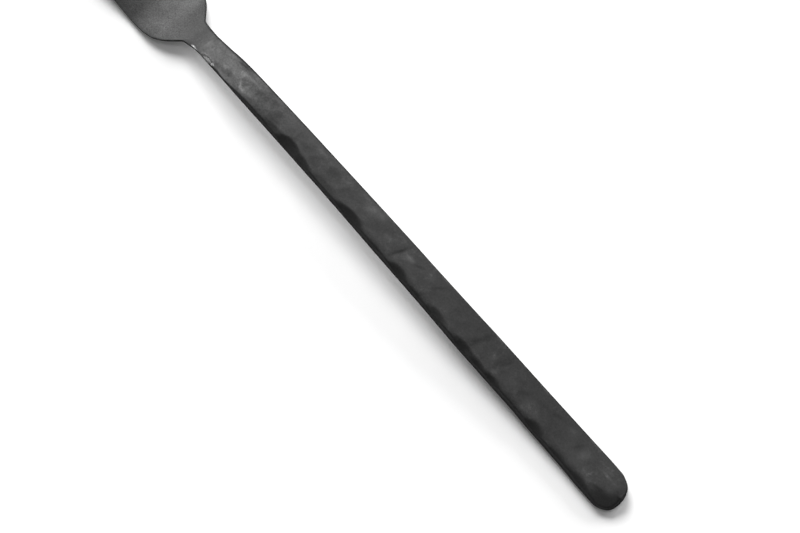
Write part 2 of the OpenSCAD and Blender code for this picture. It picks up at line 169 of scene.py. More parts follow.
def edge_reach(u, face):
    """How far in the rounding of an edge reaches, on the upper or the lower face."""
    return along(EDGES if face > 0 else UNDER_EDGES, u)


def face_height(u, inset, face, thinner=0.0):
    """Height above the middle plane of a face, at a distance in from the outline."""
    thick, rise = half_thickness(u) - thinner, along(RISES, u)
    return thick * (rise + (face - rise) * swell(inset, edge_reach(u, face)))


# Reach of the rounding of the right upper edge, as a share of the left one's
RIGHT_EDGE_SHARE = 0.5
# How far the left edge of the upper face falls, as stations along the fork, and how far in the fall starts
LEFT_FALLS = [(0, 0.42), (40, 0.3), (THROAT_AT, 0.1), (NECK_AT, 0), (FORK_L, 0)]
LEFT_FALL_REACH = 3.0
# Parts that each rounded edge of a ring, and the flat between two edges, are divided into
EDGE_PARTS, FLAT_PARTS = 12, 30


def bar_rings(places, groove=0.0):
    """Rings of points round the bar at each place, over the top from left to right and back underneath."""
    u = np.asarray(places, float)[:, None]
    groove = np.broadcast_to(groove, u.shape[:1])[:, None]
    half, height = half_width(u) - groove, along(HEIGHTS, u)
    faces = []
    for face in (1, -1):
        narrow = np.minimum(edge_reach(u, face), half * END_MOST_SHARE)
        edge = half - narrow * quarter(EDGE_PARTS)
        flat = (half - narrow) * np.linspace(1, -1, FLAT_PARTS + 1)[1:-1]
        y = np.concatenate([edge, flat, -edge[:, ::-1]], 1)
        inset = np.where(u < BUTT_R, BUTT_R - np.hypot(BUTT_R - u, y), half - np.abs(y))
        reach_in = np.where((y < 0) & (face > 0), inset / RIGHT_EDGE_SHARE, inset)
        crown = along(CROWNS, u) * (y / half) ** 2 * swell(inset, edge_reach(u, face))
        z = height + face_height(u, reach_in, face, groove) - face * crown * half_thickness(u)
        if face > 0:
            falling = np.clip(1 - inset / LEFT_FALL_REACH, 0, 1) ** 2
            z = z - along(LEFT_FALLS, u) * np.where(y > 0, falling, 0)
        faces.append(np.stack([np.broadcast_to(u, y.shape), y, z], -1))
    return np.concatenate([faces[0], faces[1][:, -2:0:-1]], 1)


def section_top(u, y, face):
    """Height of the plain bar's surface at u and y, on its upper or lower face."""
    return along(HEIGHTS, u) + face_height(u, half_width(u) - np.abs(y), face)


def flat(u, y, face, lean, pitch, bows, depth=0.0):
    """A hammer's flat at u and y: its middle, its outward direction, and the radius of its hollow each way.

    Lean turns it outwards over the edge and pitch along the fork, both in degrees.
    """
    climb = float(section_top(u + WELD_L, y, face) - section_top(u - WELD_L, y, face))
    slope = math.atan2(climb, 2 * WELD_L)
    lean, turn = math.radians(lean), math.radians(pitch) - face * slope
    out = np.array([
        math.sin(turn), math.sin(lean) * math.cos(turn), face * math.cos(lean) * math.cos(turn)])
    middle = np.array([u, y, float(section_top(u, y, face))]) - depth * out
    return middle, out, bows[0], bows[1]


def pressed(points, flats, softness):
    """Points pressed back to the hammer's flats wherever they stand above them, with softened borders."""
    for middle, out, bow_along, bow_across in flats:
        near = np.flatnonzero(np.abs(points[:, 0] - middle[0]) < HAMMER_REACH)
        away = points[near] - middle
        height = away @ out
        run = away[:, 0] - height * out[0]
        aside = np.maximum((away ** 2).sum(1) - height ** 2 - run ** 2, 0)
        above = height - run ** 2 / (2 * bow_along) - aside / (2 * bow_across)
        room = np.minimum(HAMMER_REACH - np.abs(away[:, 0]), HANDLE_L - points[near, 0])
        fade = np.clip(room / HAMMER_FADE, 0, 1)
        give = fade * softness * np.logaddexp(0, above / softness)
        points[near] -= give[:, None] * out
    return points


# Reach of the hammer along the handle, and the length over which its mark fades there
HAMMER_REACH, HAMMER_FADE = 12, 3
# Softness of the borders of the flats on the faces, on the round end and on the edges
FACE_SOFTNESS, END_SOFTNESS, EDGE_SOFTNESS = 0.005, 0.15, 0.1
# Flats on the upper edges, as (place along the handle, place of the inner border across it, lean in
# degrees, half length). Lengths are shares of the handle's length, and the place across of its half width
LEFT_FLATS = [(0.073, 0.66, 36, 0.036), (0.128, 0.69, 36, 0.032), (0.15, 0.43, 12, 0.05),
              (0.182, 0.54, 32, 0.024), (0.24, 0.76, 36, 0.032), (0.284, 0.63, 38, 0.022),
              (0.319, 0.66, 36, 0.025), (0.354, 0.56, 36, 0.029), (0.423, 0.5, 26, 0.03),
              (0.45, 0.37, 12, 0.05), (0.463, 0.67, 36, 0.032), (0.513, 0.54, 36, 0.025),
              (0.568, 0.72, 36, 0.036), (0.633, 0.43, 32, 0.033), (0.7, 0.39, 14, 0.05),
              (0.755, 0.52, 30, 0.03), (0.785, 0.28, 32, 0.025), (0.825, 0.43, 20, 0.028),
              (0.957, 0.89, 45, 0.03)]
RIGHT_FLATS = [(0.1, 0.83, 36, 0.029), (0.219, 0.84, 36, 0.032), (0.327, 0.84, 36, 0.032),
               (0.453, 0.83, 36, 0.032), (0.59, 0.82, 36, 0.032), (0.727, 0.81, 36, 0.029),
               (0.86, 0.8, 30, 0.029)]
# How far an edge's flat bends up over its half length, the radius of its hollow across it, and how far the
# flat under an edge lies on from the one above
EDGE_BITE, EDGE_BOW_ACROSS, UNDER_SHIFT = 0.6, 30, 3
# Flat on the round end: its place along and across as shares of the end's radius, lean, pitch and hollow
END_FLAT = (0.9, 0.27, 21, -12, (40, 40))
# Marks spread along each face: how many, the depth of the deepest and the least as a share of it, the radii
# of their hollows, most lean and pitch in degrees, and how far they spread across and stray along the face
FACE_BLOWS, FACE_BLOW_DEPTH, LEAST_SHARE, FACE_BOWS = 30, 0.08, 0.35, (60, 30)
MOST_LEAN, MOST_PITCH, SPREAD_SHARE, STRAY_SHARE = 3, 2, 0.7, 0.3
# Turn in degrees from one of these marks to the next, which never repeats along the handle
BLOW_TURN = 137.5
# Small marks scattered on each face: how many, the seed of the scatter, how far from the handle's ends they
# stay, their spread as a share of the half width, and the ranges of their hollows' radii and of their depths
SMALL_MARKS, MARK_SEED, MARKS_FROM, MARKS_BACK, MARK_SPREAD = 190, 5, 3, 1, 0.85
MARK_BOWS_ALONG, MARK_BOWS_ACROSS, MARK_DEPTHS = (15, 60), (12, 40), (0.01, 0.06)


def edge_flats(places, side):
    """Flats on an edge, above and mirrored underneath, on side 1 for the left and -1 for the right."""
    flats = []
    for place, across, lean, half_length in places:
        for face in (1, -1):
            u = place * HANDLE_L + (0 if face > 0 else UNDER_SHIFT)
            y = side * face * across * float(half_width(u))
            bows = ((half_length * HANDLE_L) ** 2 / (2 * EDGE_BITE), EDGE_BOW_ACROSS)
            flats.append(flat(u, y, face, side * face * lean, 0, bows))
    return flats


def face_flats():
    """Flats along both faces, spread by a turn that never repeats."""
    flats = []
    for i in range(FACE_BLOWS):
        for face in (1, -1):
            turn = math.radians(BLOW_TURN * (i + (0 if face > 0 else 0.5)))
            u = HANDLE_L * (i + 0.5 + STRAY_SHARE * math.sin(3 * turn)) / FACE_BLOWS
            y = SPREAD_SHARE * float(half_width(u)) * math.sin(turn)
            depth = FACE_BLOW_DEPTH * (LEAST_SHARE + (1 - LEAST_SHARE) * math.cos(1.5 * turn) ** 2)
            lean, pitch = MOST_LEAN * math.cos(2 * turn), MOST_PITCH * math.sin(5 * turn)
            flats.append(flat(u, y, face, lean, pitch, FACE_BOWS, depth))
    return flats


def end_flat():
    """Flat on the round end."""
    place, across, lean, pitch, bows = END_FLAT
    return flat(place * BUTT_R, across * BUTT_R, 1, lean, pitch, bows)


def small_marks():
    """Small shallow marks scattered along both faces, each turned a little its own way."""
    draw = np.random.default_rng(MARK_SEED)
    flats = []
    for face in (1, -1):
        for i in range(SMALL_MARKS):
            u = MARKS_FROM + (HANDLE_L - MARKS_FROM - MARKS_BACK) * (i + draw.uniform(0, 1)) / SMALL_MARKS
            y = draw.uniform(-MARK_SPREAD, MARK_SPREAD) * float(half_width(u - WELD_L))
            bows = (draw.uniform(*MARK_BOWS_ALONG), draw.uniform(*MARK_BOWS_ACROSS))
            lean, pitch = draw.uniform(-MOST_LEAN, MOST_LEAN), draw.uniform(-MOST_PITCH, MOST_PITCH)
            flats.append(flat(u, y, face, lean, pitch, bows, draw.uniform(*MARK_DEPTHS)))
    return flats


# Nicks across the handle's upper face: where each starts and ends along and across it, depth and half width
NICKS = [((74.9, 1.4), (73.7, -1.8), 0.055, 0.3), ((65.0, 0.8), (63.8, -0.4), 0.03, 0.3),
         ((47.8, 1.0), (46.6, -2.6), 0.035, 0.5), ((41.0, 0.6), (40.0, -2.6), 0.035, 0.45),
         ((7.3, 2.3), (5.6, 1.9), 0.04, 0.3), ((126.8, 1.9), (125.4, -0.4), 0.03, 0.35)]
# How many times wider a nick's gentle side is, and how far along the handle a nick is felt
NICK_GENTLE, NICK_REACH = 4, 6


def on_top(points):
    """Which of the points lie above the fork's middle plane."""
    return points[:, 2] > along(HEIGHTS, points[:, 0])


def nicked(points):
    """Upper points sunk along the nicks."""
    for start, end, depth, half in NICKS:
        start, run = np.array(start), np.array(end) - np.array(start)
        near = np.flatnonzero((np.abs(points[:, 0] - start[0]) < NICK_REACH) & on_top(points))
        away = points[near, :2] - start
        share = np.clip(away @ run / (run @ run), 0, 1)
        off = np.linalg.norm(away - share[:, None] * run, axis=1)
        gentle = away[:, 0] * run[1] - away[:, 1] * run[0] > 0
        points[near, 2] -= depth * np.exp(-(off / np.where(gentle, NICK_GENTLE * half, half)) ** 2)
    return points


# Sunk ledge on the left edge of the neck: its middle along and across, half length, half width, depth, and
# the width of its wall as a share of the half sizes
LEDGE = (136.8, 2.95, 2.1, 1.05, 0.12, 0.16)


def ledged(points):
    """Upper points sunk into the ledge on the neck's left edge, down a short wall."""
    u, y, half_l, half_w, depth, wall = LEDGE
    out = np.hypot((points[:, 0] - u) / half_l, (points[:, 1] - y) / half_w)
    points[:, 2] -= np.where(on_top(points), depth * np.clip((1 - out) / wall, 0, 1), 0)
    return points


# How far the hammered sides lie out from the plain bar's, as stations along the handle
RIGHT_OUT = [(BUTT_R, -0.21), (9, -0.06), (25, 0), (45, 0), (52, -0.08), (58, -0.11), (66, -0.11),
             (73, -0.03), (85, 0), (95, 0), (113, 0.05), (122, 0.1), (127, 0.17), (131.4, 0.2), (135, 0.06),
             (HANDLE_L, 0)]
LEFT_OUT = [(BUTT_R, 0.1), (9.5, 0.1), (13, -0.02), (17, -0.1), (26, -0.1), (32, -0.18), (38, -0.08),
            (45, 0.04), (50, 0.12), (56, 0.08), (65, 0), (75, -0.02), (84, -0.08), (91, -0.14), (98, -0.17),
            (106, -0.13), (116, -0.08), (122, 0), (127, 0.12), (132, 0.2), (135.5, 0.15), (137.5, 0.07),
            (HANDLE_L, 0)]
# How far the round end lies out, as a share of its radius, by the angle in degrees from its tip to the left
ROUND_OUT = [(-90, -0.045), (-70, -0.077), (-45, -0.06), (-20, -0.08), (0, -0.07), (12, -0.045), (25, 0),
             (40, 0.045), (60, 0.03), (90, 0.021)]


def hammered_out(points):
    """Points moved across the handle, and about the middle of its round end, to its uneven outline."""
    u, y = points[:, 0].copy(), points[:, 1].copy()
    turn = np.degrees(np.arctan2(y, BUTT_R - u))
    at_end = np.where(u < BUTT_R, 1 + along(ROUND_OUT, turn), 1)
    side_out = np.where(y < 0, along(RIGHT_OUT, u), along(LEFT_OUT, u))
    at_side = 1 + side_out / half_width(np.maximum(u, BUTT_R))
    points[:, 0] = BUTT_R - (BUTT_R - u) * at_end
    points[:, 1] = y * np.where(u < BUTT_R, at_end, at_side)
    return points


# Places worn bare, partly painted bright as glints and highlights on the neck's left edge, as (place along,
# place across, half length, half width, amount)
WEAR_AND_GLINTS = [(137.3, 2.35, 2.3, 0.55, 0.07), (137, 2.1, 1.8, 0.3, 0.2), (135.3, 2.6, 0.5, 0.3, 1),
        (141.5, 2.75, 1.2, 0.25, 0.9)]
# How steeply the wear and painted glints come in from a place's border
WEAR_AND_GLINT_STEEPNESS = 1.5
# Patches of painted light and shade on the upper face, where hammer facets catch or lose the lamps, as
# (place along, place across, half length, half width, turn in degrees from the fork's length towards its
# left, change of tone)
LIGHT_AND_SHADE_PATCHES = [(6.1, 2.1, 1.2, 0.45, 18, -0.35), (6.5, -1.4, 2.07, 0.26, 0, 0.28),
           (7.2, -2.5, 1.5, 0.75, 0, 0.12), (10.1, 1.6, 1.5, 0.94, 0, 0.2),
           (13.5, -0.3, 1.05, 1.69, 0, 0.25), (15.7, -0.9, 1.69, 0.45, 60, -0.15),
           (18.9, -2.4, 1.13, 0.68, 0, 0.22), (23.1, 0, 2.26, 1.32, 0, -0.1),
           (24.6, -2, 3.57, 0.45, 13, -0.15), (29.7, 1.5, 1.32, 1.13, 0, 0.2),
           (32.6, 0.2, 1.69, 0.56, 51, -0.15), (36.5, -1, 1.69, 2.07, 0, 0.12),
           (39.9, -1.3, 1.43, 0.56, 67, -0.25), (42.6, -0.3, 1.13, 0.53, 63, 0.28),
           (47.6, -0.6, 2.44, 0.68, 63, -0.2), (62.6, -0.9, 2.26, 0.3, 48, -0.18),
           (65.2, -1.5, 2.07, 0.94, 0, 0.15), (67.7, 1.6, 0.6, 0.3, 0, 0.25),
           (68.8, -1.1, 1.2, 0.3, 23, -0.22), (71.5, -0.7, 1.1, 0.5, 17, 0.65),
           (74.3, -0.2, 1.5, 0.35, 67, -0.35), (79, -0.2, 0.83, 0.38, 0, 0.15),
           (80.2, -1.4, 1.88, 1.69, 0, -0.07), (82.9, -2.7, 0.75, 0.68, 0, 0.3),
           (83.1, 2, 1.32, 0.38, 21, 0.2), (85.1, -2.1, 2.26, 0.94, 0, 0.25),
           (85.7, -1.8, 1.32, 0.68, 37, 0.3), (97.9, -0.7, 2.26, 1.32, 0, -0.1),
           (98.4, -2.2, 1.69, 0.56, 21, 0.16), (102.4, 1, 0.94, 0.56, 0, -0.12),
           (103.3, -2.2, 1.32, 0.38, 0, 0.28), (106.7, -0.4, 2.63, 0.94, 0, -0.12),
           (110.9, -1.7, 3.38, 1.13, 0, 0.08), (114.8, -1.8, 0.68, 0.3, 27, 0.25),
           (116.2, 0.3, 2.07, 0.56, 53, -0.14), (123, -0.3, 2, 1, 0, -0.08),
           (127.2, 1.15, 0.85, 0.22, -49, 0.7), (126, 1.85, 0.8, 0.22, -12, 0.5),
           (128.3, -0.9, 1.69, 0.56, 18, 0.3), (130, -2.45, 1.8, 0.28, 7, -0.5),
           (130.7, 1.3, 0.9, 0.6, 0, -0.3), (115.2, 1.1, 1.3, 0.35, 10, -0.25),
           (127.3, -2.1, 2, 0.5, 0, -0.25), (132, 1.9, 2.8, 0.6, 0, -0.2), (132.8, 0.8, 0.8, 0.4, 0, 0.25),
           (134.4, 2, 0.8, 0.4, 0, -0.2), (133.9, -1.8, 1.5, 0.8, 0, -0.12),
           (138.8, -1.7, 0.9, 0.8, 0, -0.2), (148.5, 3.5, 3, 1.5, 40, 0.1), (2, -0.6, 0.9, 0.9, 0, -0.28)]
# How tightly a patch of painted light or shade fades
LIGHT_AND_SHADE_FADE = 0.8
# How strongly the grain shows, as stations along the fork
GRAINS = [(0, 1.2), (15, 1), (105, 1), (124, 2.0), (HANDLE_L, 1.8), (WELD_END, 0.5), (CORNER_AT, 0.5),
          (CORNER_AT + 4, 1), (FORK_L, 1)]
# Width of the painted shade along the right edge, and where it starts on the round end
SHADE_RIM_W, SHADE_RIM_FROM = 0.55, 0.5


def light_and_shade_at(points):
    """Painted light and shade at each point of the upper faces, as a change of tone by a share of the plain
    tone.
    """
    light_and_shade = np.zeros(len(points))
    for u, y, half_l, half_w, turn, amount in LIGHT_AND_SHADE_PATCHES:
        c, s = math.cos(math.radians(turn)), math.sin(math.radians(turn))
        du, dy = points[:, 0] - u, points[:, 1] - y
        out = ((du * c + dy * s) / half_l) ** 2 + ((dy * c - du * s) / half_w) ** 2
        light_and_shade += amount * np.exp(-LIGHT_AND_SHADE_FADE * out)
    return np.where(on_top(points), light_and_shade, 0)


def wear_and_glints_at(points):
    """How far the black is worn through, or painted bright as a glint, at each point, from 0 to 1."""
    wear_and_glints = np.zeros(len(points))
    top = on_top(points)
    for u, y, half_l, half_w, amount in WEAR_AND_GLINTS:
        out = ((points[:, 0] - u) / half_l) ** 2 + ((points[:, 1] - y) / half_w) ** 2
        wear_and_glints = np.maximum(wear_and_glints, np.where(top, amount * np.clip(WEAR_AND_GLINT_STEEPNESS * (1 - out), 0, 1), 0))
    return wear_and_glints


def painted_shade_rim_at(points):
    """How close each point lies to the right outline, from 0 to 1 at the outline, which sets the painted
    shade there.
    """
    u, y = points[:, 0], points[:, 1]
    inset = np.where(u < BUTT_R, BUTT_R - np.hypot(BUTT_R - u, y), half_width(u) + y)
    inset = inset / np.where(u < BUTT_R, 1, np.hypot(1, slant_at(u)))
    return np.where(y < 0, np.clip(1 - inset / SHADE_RIM_W, 0, 1), 0) * np.clip((u - SHADE_RIM_FROM) / BUTT_R, 0, 1)


def ring_faces(rings, n, first=0):
    """Four-sided faces of a tube of rings, each of n points."""
    faces = []
    for i in range(rings - 1):
        for j in range(n):
            a, d = first + i * n + j, first + i * n + (j + 1) % n
            faces.append((a, a + n, d + n, d))
    return faces


def sheet_faces(rows, cols, first, outside_up):
    """Four-sided faces of a sheet of rows by cols points, seen from outside."""
    faces = []
    for i in range(rows - 1):
        for j in range(cols - 1):
            a = first + i * cols + j
            b = a + cols
            faces.append((a, b, b + 1, a + 1) if outside_up else (a, a + 1, b + 1, b))
    return faces


# Points closer than this, in metres, are one, and edges that turn by more than this angle stay sharp
ONE_POINT, SHARP_ANGLE = 1e-7, math.radians(50)


def skin(node, points, faces, material):
    """The shown piece of a node: a closed mesh of points in millimetres, joined where they meet."""
    points = np.array(points, float)
    points[:, 0] -= FORK_L / 2
    points[:, 2] = np.maximum(points[:, 2], 0)
    points = np.clip(points * MM, np.array(cad_box[0]), np.array(cad_box[1]))
    mesh = bpy.data.meshes.new(node + "_shape")
    mesh.from_pydata(points.tolist(), [], faces)
    work = bmesh.new()
    work.from_mesh(mesh)
    bmesh.ops.remove_doubles(work, verts=work.verts, dist=ONE_POINT)
    bmesh.ops.dissolve_degenerate(work, edges=work.edges, dist=ONE_POINT)
    bmesh.ops.recalc_face_normals(work, faces=work.faces)
    work.to_mesh(mesh)
    work.free()
    mesh.shade_smooth()
    mesh.set_sharp_from_angle(angle=SHARP_ANGLE)
    made = np.array([corner.co for corner in mesh.vertices]) / MM + np.array([FORK_L / 2, 0, 0])
    # Wear and painted glints, painted shade along the right edge, painted light and shade patches and grain
    # strength, kept at the points
    for name, values in (("wear_and_glints", wear_and_glints_at(made)), ("painted_shade_rim", painted_shade_rim_at(made)), ("light_and_shade", light_and_shade_at(made)),
                         ("grain", along(GRAINS, made[:, 0]))):
        mesh.attributes.new(name, "FLOAT", "POINT").data.foreach_set("value", values)
    mesh.materials.append(material)
    piece = bpy.data.objects.new(node + "_shown", mesh)
    bpy.context.scene.collection.objects.link(piece)
    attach(piece, "root")
    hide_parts(node)
    return piece


# Rings round the handle's end, and along the rest of it, and rings along the weld
END_RINGS, HANDLE_RINGS, WELD_RINGS = 26, 460, 13


def make_handle(material):
    """Forged handle: a bar with a round end, hammered on both faces and both edges."""
    places = np.concatenate([
        BUTT_R * quarter(END_RINGS)[1:], np.linspace(BUTT_R, HANDLE_L, HANDLE_RINGS)[1:]])
    rings = bar_rings(places)
    n = rings.shape[1]
    points = pressed(rings.reshape(-1, 3), face_flats() + small_marks(), FACE_SOFTNESS)
    points = pressed(points, [end_flat()], END_SOFTNESS)
    points = pressed(points, edge_flats(LEFT_FLATS, 1) + edge_flats(RIGHT_FLATS, -1), EDGE_SOFTNESS)
    points = hammered_out(ledged(nicked(points)))
    pole = hammered_out(np.array([[0, 0, FOOT_H]], float))
    faces = [(0, 1 + j, 1 + (j + 1) % n) for j in range(n)]
    faces += ring_faces(len(places), n, 1)
    faces.append(tuple(1 + (len(places) - 1) * n + j for j in range(n - 1, -1, -1)))
    piece = skin("handle", np.concatenate([pole, points]), faces, material)


def make_weld(material):
    """Weld at the waist, ground flush, with a fine groove round it."""
    shares = np.linspace(0, 1, WELD_RINGS)
    rings = bar_rings(HANDLE_L + WELD_L * shares, groove=WELD_GROOVE * np.sin(math.pi * shares) ** 2)
    n = rings.shape[1]
    faces = [tuple(range(n))] + ring_faces(len(shares), n)
    faces.append(tuple((len(shares) - 1) * n + j for j in range(n - 1, -1, -1)))
    piece = skin("neck_weld", rings.reshape(-1, 3), faces, material)


# Width of a tine at its root, pitch of the tines at their roots and points, and places along the head
TINE_W = (ROOT_W - (TINES - 1) * SLOT_W) / TINES
ROOT_PITCH = TINE_W + SLOT_W
POINT_PITCH = (POINTS_W - POINT_W) / (TINES - 1)
POINT_AT = FORK_L - POINT_L
PALM_LENGTH = TINE_AT - WELD_END
# Rows along the palm and over its last rounding, and rows along a tine and over its point
PALM_ROWS, LAST_ROWS, TINE_ROWS, POINT_ROWS = 112, 4, 112, 14
# Parts that a tine's edge and flat, and the round bottom of a slot, are divided into
TINE_EDGE_PARTS, TINE_FLAT_PARTS, SLOT_PARTS = 9, 4, 16
# Narrow bevel along the left edge of the head's stub: where it ends and over what length it runs out, its
# width and depth, and the width of its wall
BEVEL_END, BEVEL_FADE, BEVEL_W, BEVEL_DEPTH, BEVEL_WALL = 146.5, 1.5, 0.6, 0.04, 0.12


def head_surface(u, y, inset, face):
    """Points of the head at u and y, on the upper or the lower face."""
    across = (y / half_width(u)) ** 2
    bevel = np.clip((BEVEL_W - inset) / BEVEL_WALL, 0, 1)
    bevel = bevel * np.clip((BEVEL_END - u) / BEVEL_FADE, 0, 1) * (y > 0)
    drop = along(SHOULDER_FALLS, u) * across + BEVEL_DEPTH * bevel
    if face < 0:
        drop = drop * (1 - swell(inset, edge_reach(u, face)))
    z = along(HEIGHTS, u) + along(DISHES, u) * across + face_height(u, inset, face) - drop
    return np.stack(np.broadcast_arrays(u, y, z), -1)


def palm_inset(u, y):
    """Distance in from the palm's outline and from the round bottoms of the slots."""
    inset = (half_width(u) - np.abs(y)) / np.hypot(1, slant_at(u))
    for i in range(TINES - 1):
        middle = ((TINES - 2) / 2 - i) * ROOT_PITCH
        inset = np.minimum(inset, np.hypot(TINE_AT - u, y - middle) - SLOT_R)
    return inset


def tine_half(u):
    """Half the width of a tine at u, rounded to a point at its end."""
    straight = (TINE_W + (POINT_W - TINE_W) * (u - TINE_AT) / (POINT_AT - TINE_AT)) / 2
    point = POINT_W / 2 * np.sqrt(np.clip(1 - (np.maximum(u - POINT_AT, 0) / POINT_L) ** 2, 0, 1))
    return np.where(u < POINT_AT, straight, point)


def tine_middle(i, u):
    """Middle line of tine i."""
    spread = (POINT_PITCH - ROOT_PITCH) * (u - TINE_AT) / (FORK_L - TINE_AT)
    return ((TINES - 1) / 2 - i) * (ROOT_PITCH + spread)


def make_head(material):
    """Pressed head: neck stub, shoulders, dished palm and four tines."""
    edge = 1 - min(TINE_MOST_SHARE, 2 * HEAD_EDGE / TINE_W) * quarter(TINE_EDGE_PARTS)
    between = np.linspace(edge[-1], -edge[-1], TINE_FLAT_PARTS + 1)[1:-1]
    shares = np.concatenate([edge, between, -edge[::-1]])
    width = len(shares)
    turns = np.linspace(0, math.pi, SLOT_PARTS + 1)[1:-1]
    columns = []
    for i in range(TINES):
        columns += [(tine_middle(i, TINE_AT) + c * TINE_W / 2, 0) for c in shares]
        if i < TINES - 1:
            middle = ((TINES - 2) / 2 - i) * ROOT_PITCH
            columns += [(middle + SLOT_R * math.cos(t), SLOT_R * math.sin(t)) for t in turns]
    places, ahead = np.array(columns).T
    cols = len(columns)
    rounding = HEAD_EDGE / PALM_LENGTH
    row_shares = np.concatenate([
        np.linspace(0, 1 - rounding, PALM_ROWS), 1 - rounding * quarter(LAST_ROWS)[::-1][1:]])[:, None]
    rows = len(row_shares)
    u = WELD_END + (PALM_LENGTH - ahead) * row_shares
    y = places * half_width(WELD_END + PALM_LENGTH * row_shares) / half_width(TINE_AT)
    inset = palm_inset(u, y)
    points = [head_surface(u, y, inset, face).reshape(-1, 3) for face in (1, -1)]
    faces = [tuple([rows * cols + j for j in range(cols - 1, -1, -1)] + list(range(1, cols - 1)))]
    faces += sheet_faces(rows, cols, 0, True) + sheet_faces(rows, cols, rows * cols, False)

    tine_u = np.concatenate([
        np.linspace(TINE_AT, POINT_AT, TINE_ROWS),
        POINT_AT + POINT_L * np.sin(np.linspace(0, math.pi / 2, POINT_ROWS + 1)[1:])])[:, None]
    count = 2 * rows * cols
    for i in range(TINES):
        y = tine_middle(i, tine_u) + shares * tine_half(tine_u)
        inset = (1 - np.abs(shares)) * tine_half(tine_u)
        for face in (1, -1):
            points.append(head_surface(tine_u, y, inset, face).reshape(-1, 3))
            faces += sheet_faces(len(tine_u), width, count, face == 1)
            count += len(tine_u) * width
    piece = skin("head", np.concatenate(points), faces, material)


# Node groups that more than one finish uses

def new_group(name, inputs, outputs):
    """An empty shader node group with named sockets."""
    tree = bpy.data.node_groups.new(name, "ShaderNodeTree")
    for label, value in inputs:
        socket = tree.interface.new_socket(name=label, in_out="INPUT", socket_type="NodeSocketFloat")
        socket.default_value = value
    for label in outputs:
        tree.interface.new_socket(name=label, in_out="OUTPUT", socket_type="NodeSocketFloat")
    return tree, tree.nodes.new("NodeGroupInput"), tree.nodes.new("NodeGroupOutput")


def maths(tree, operation, a, b):
    """A maths node on two values, each a socket or a number."""
    made = tree.nodes.new("ShaderNodeMath")
    made.operation = operation
    for socket, value in zip(made.inputs, (a, b)):
        if isinstance(value, bpy.types.NodeSocket):
            tree.links.new(value, socket)
        else:
            socket.default_value = value
    return made.outputs[0]


def noise(tree, place, scale, detail, roughness=0.5):
    """Even noise from 0 to 1 at a place, with place and scale as sockets."""
    made = tree.nodes.new("ShaderNodeTexNoise")
    tree.links.new(place, made.inputs["Vector"])
    tree.links.new(scale, made.inputs["Scale"])
    made.inputs["Detail"].default_value = detail
    made.inputs["Roughness"].default_value = roughness
    return made.outputs["Fac"]


def remap(tree, value, low, high, to_low=0.0, to_high=1.0):
    """A value moved from one range to another and held inside it."""
    made = tree.nodes.new("ShaderNodeMapRange")
    tree.links.new(value, made.inputs["Value"])
    for label, number in (("From Min", low), ("From Max", high), ("To Min", to_low), ("To Max", to_high)):
        made.inputs[label].default_value = number
    return made.outputs["Result"]


def painted(tree, name):
    """A value that each shown piece carries at its points."""
    made = tree.nodes.new("ShaderNodeAttribute")
    made.attribute_name = name
    return made.outputs["Fac"]


def blast_grain():
    """Grain of a blasted or forged face: its height, its speckle about 0, and its bright flecks."""
    tree, given, out = new_group("Blast grain", [("Grain size mm", 0.4)], ["Height", "Speckle", "Flecks"])
    place = tree.nodes.new("ShaderNodeTexCoord").outputs["Object"]
    scale = maths(tree, "DIVIDE", 1000, given.outputs["Grain size mm"])
    fine = noise(tree, place, maths(tree, "MULTIPLY", scale, 1.8), detail=2.0, roughness=0.6)
    coarse = noise(tree, place, scale, detail=1.0)
    clumps = noise(tree, place, maths(tree, "MULTIPLY", scale, 0.8), detail=3.0, roughness=0.6)
    areas = noise(tree, place, maths(tree, "MULTIPLY", scale, 0.15), detail=1.0)
    height = maths(tree, "ADD", fine, maths(tree, "MULTIPLY", coarse, 0.6))
    tree.links.new(height, out.inputs["Height"])
    tree.links.new(remap(tree, fine, 0.3, 0.7, -1, 1), out.inputs["Speckle"])
    flecks = maths(tree, "MULTIPLY", remap(tree, clumps, 0.52, 0.68), remap(tree, areas, 0.42, 0.6))
    tree.links.new(flecks, out.inputs["Flecks"])
    return tree


def tone_drift():
    """Slow drift of tone over a finish, about 1."""
    tree, given, out = new_group("Tone drift", [("Patch size mm", 6.0), ("Contrast", 0.2)], ["Tone"])
    place = tree.nodes.new("ShaderNodeTexCoord").outputs["Object"]
    scale = maths(tree, "DIVIDE", 1000, given.outputs["Patch size mm"])
    patches = remap(tree, noise(tree, place, scale, detail=2.0, roughness=0.4), 0.3, 0.7, -1, 1)
    drift = maths(tree, "MULTIPLY", patches, given.outputs["Contrast"])
    tree.links.new(maths(tree, "ADD", drift, 1), out.inputs["Tone"])
    return tree


def wear_and_glints_group():
    """Where the black is worn through or painted bright as glints, broken up into flecks."""
    tree, given, out = new_group("Painted glints and bare metal", [("Amount", 1.0), ("Breakup mm", 0.5)], ["Mask"])
    place = tree.nodes.new("ShaderNodeTexCoord").outputs["Object"]
    scale = maths(tree, "DIVIDE", 1000, given.outputs["Breakup mm"])
    broken = remap(tree, noise(tree, place, scale, detail=2.0, roughness=0.5), 0.35, 0.6, 0.3, 1)
    wear_and_glints = maths(tree, "MULTIPLY", painted(tree, "wear_and_glints"), broken)
    tree.links.new(maths(tree, "MULTIPLY", wear_and_glints, given.outputs["Amount"]), out.inputs["Mask"])
    return tree


def placed_group(tree, group, **values):
    """A node group set in a material with its own values, given with _ for each space."""
    made = tree.nodes.new("ShaderNodeGroup")
    made.node_tree = group
    for label, value in values.items():
        made.inputs[label.replace("_", " ")].default_value = value
    return made.outputs


# Tone of the painted shade along the right edge as a share of the rest, and the closeness to the outline at
# which it is reached
SHADE_RIM_TONE, SHADE_RIM_FULL = 0.3, 0.7
